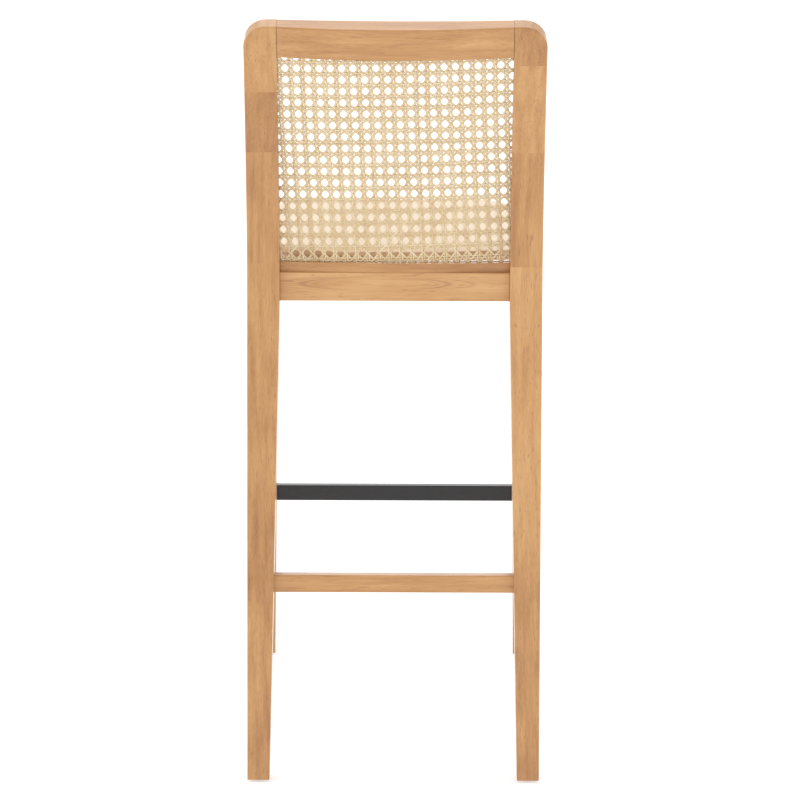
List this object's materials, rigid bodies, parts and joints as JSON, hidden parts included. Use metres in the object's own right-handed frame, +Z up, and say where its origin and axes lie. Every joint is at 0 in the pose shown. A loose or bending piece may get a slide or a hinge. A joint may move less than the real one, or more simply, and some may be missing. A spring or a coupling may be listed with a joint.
{
  "type": "bar stool with footrest",
  "caption": "Bar stool in honey-coloured wood with a woven cane back, an upholstered drop-in seat and a black steel footrest bar between the front legs.",
  "frame": {"origin": "on the floor, at the middle of the stool's bounding box", "axes": "+Z up, the sitter faces -Y, the sitter's left hand is +X"},
  "size_m": [0.448, 0.563, 1.1079],
  "materials": {
    "honey_wood": "satin clear lacquer",
    "dowel_wood": "bare",
    "plywood": "bare",
    "cane": "natural woven cane",
    "reed": "natural reed",
    "seat_fabric": "woven linen blend",
    "foam": "upholstery foam",
    "dust_cloth": "non-woven cloth",
    "black_steel": "matte powder coat",
    "zinc_steel": "zinc plated",
    "glide_plastic": "moulded"
  },
  "bodies": {
    "root": {"bolt_plug_left": "honey_wood", "bolt_plug_right": "honey_wood", "cane_panel": "cane", "cane_spline_bottom": "reed", "cane_spline_left": "reed", "cane_spline_right": "reed", "cane_spline_top": "reed", "corner_block_front_left": "dowel_wood", "corner_block_front_right": "dowel_wood", "corner_block_rear_left": "dowel_wood", "corner_block_rear_right": "dowel_wood", "corner_block_screws": "zinc_steel", "dust_cover": "dust_cloth", "footrest_bar": "black_steel", "footrest_bolts": "zinc_steel", "footrest_end_plugs": "zinc_steel", "footrest_washers": "zinc_steel", "front_leg_left": "honey_wood", "front_leg_right": "honey_wood", "front_seat_rail": "honey_wood", "glide_front_left": "glide_plastic", "glide_front_right": "glide_plastic", "glide_nails": "zinc_steel", "glide_rear_left": "glide_plastic", "glide_rear_right": "glide_plastic", "low_back_rail": "honey_wood", "low_rail_dowels": "dowel_wood", "rear_leg_left": "honey_wood", "rear_leg_right": "honey_wood", "rear_seat_rail": "honey_wood", "rear_stretcher": "honey_wood", "seat_cover": "seat_fabric", "seat_foam": "foam", "seat_panel": "plywood", "seat_rail_dowels": "dowel_wood", "seat_screws": "zinc_steel", "side_seat_rail_left": "honey_wood", "side_seat_rail_right": "honey_wood", "side_stretcher_left": "honey_wood", "side_stretcher_right": "honey_wood", "top_rail": "honey_wood", "top_rail_dowels": "dowel_wood"}
  },
  "joints": []
}
